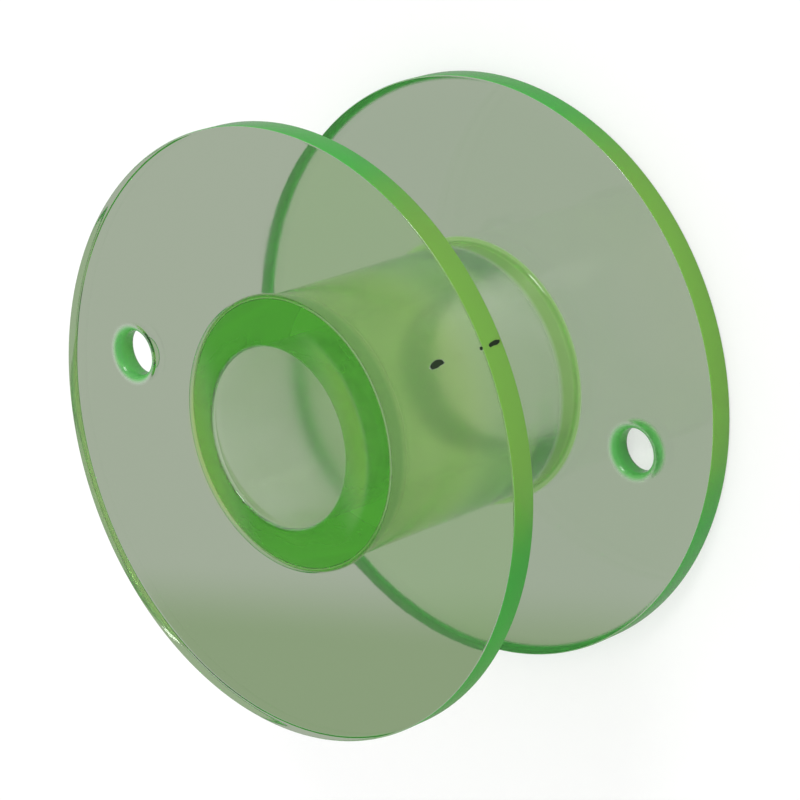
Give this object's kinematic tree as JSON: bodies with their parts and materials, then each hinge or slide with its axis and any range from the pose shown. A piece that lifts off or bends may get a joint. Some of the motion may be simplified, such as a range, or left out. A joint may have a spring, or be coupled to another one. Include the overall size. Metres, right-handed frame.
{
  "type": "sewing machine bobbin",
  "caption": "Clear green moulded bobbin: flat disc flanges on a tubular hub with a through bore and a thread hole in each flange, to hold a sewing machine's lower thread.",
  "frame": {"origin": "middle of the lower flange's outer face, on the bobbin's axis", "axes": "+Z along the bore, from the lower flange to the upper one; +X through the lower flange's thread hole, with the upper flange's hole on the -X side"},
  "size_m": [0.0203, 0.0202, 0.0105],
  "materials": {
    "clear_green_plastic": "gloss, clear, with edges that glow green"
  },
  "bodies": {
    "root": {"bobbin": "clear_green_plastic"}
  },
  "joints": []
}
